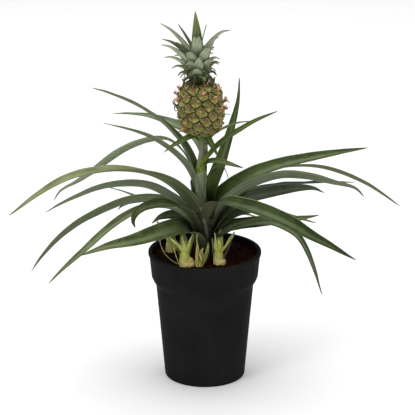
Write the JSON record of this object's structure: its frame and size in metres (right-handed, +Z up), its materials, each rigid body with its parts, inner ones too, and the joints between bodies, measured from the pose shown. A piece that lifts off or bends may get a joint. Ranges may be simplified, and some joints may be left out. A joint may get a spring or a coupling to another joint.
{
  "type": "potted pineapple plant",
  "caption": "Ornamental pineapple plant with arching gutter leaves and a small crowned fruit on its stalk, in a round black nursery pot.",
  "frame": {"origin": "middle of the pot's flat foot, on the surface it stands on", "axes": "+Z up through the pot's axis, +X to the right and +Y away from the viewer, as in the picture"},
  "size_m": [0.4156, 0.2339, 0.3984],
  "materials": {
    "pot": "satin",
    "stem": "matte",
    "fruit": "matte",
    "crown": "matte",
    "leaf": "satin",
    "bract": "satin",
    "shoot": "matte",
    "dry_shoot": "matte",
    "soil": "matte"
  },
  "bodies": {
    "root": {"pot": "pot", "stem": "stem", "fruit": "fruit", "crown": "crown", "leaf_left_1": "leaf", "leaf_left_2": "leaf", "leaf_left_3": "leaf", "leaf_left_4": "leaf", "leaf_left_5": "leaf", "leaf_left_6": "leaf", "leaf_left_7": "leaf", "leaf_left_8": "leaf", "leaf_left_9": "leaf", "leaf_left_10": "leaf", "leaf_left_11": "leaf", "leaf_left_12": "leaf", "leaf_right_1": "leaf", "leaf_right_2": "leaf", "leaf_right_3": "leaf", "leaf_right_4": "leaf", "leaf_right_5": "leaf", "leaf_right_6": "leaf", "leaf_right_7": "leaf", "leaf_right_8": "leaf", "leaf_right_9": "leaf", "leaf_right_10": "leaf", "leaf_back_1": "leaf", "leaf_back_2": "leaf", "leaf_back_3": "leaf", "leaf_back_4": "leaf", "leaf_back_5": "leaf", "bract_1": "bract", "bract_2": "bract", "bract_3": "bract", "bract_4": "bract", "bract_5": "bract", "bract_6": "bract", "bract_7": "bract", "shoot_left": "shoot", "shoot_right": "shoot", "shoot_front_dry": "dry_shoot", "shoot_back_left": "shoot", "soil": "soil"}
  },
  "joints": []
}
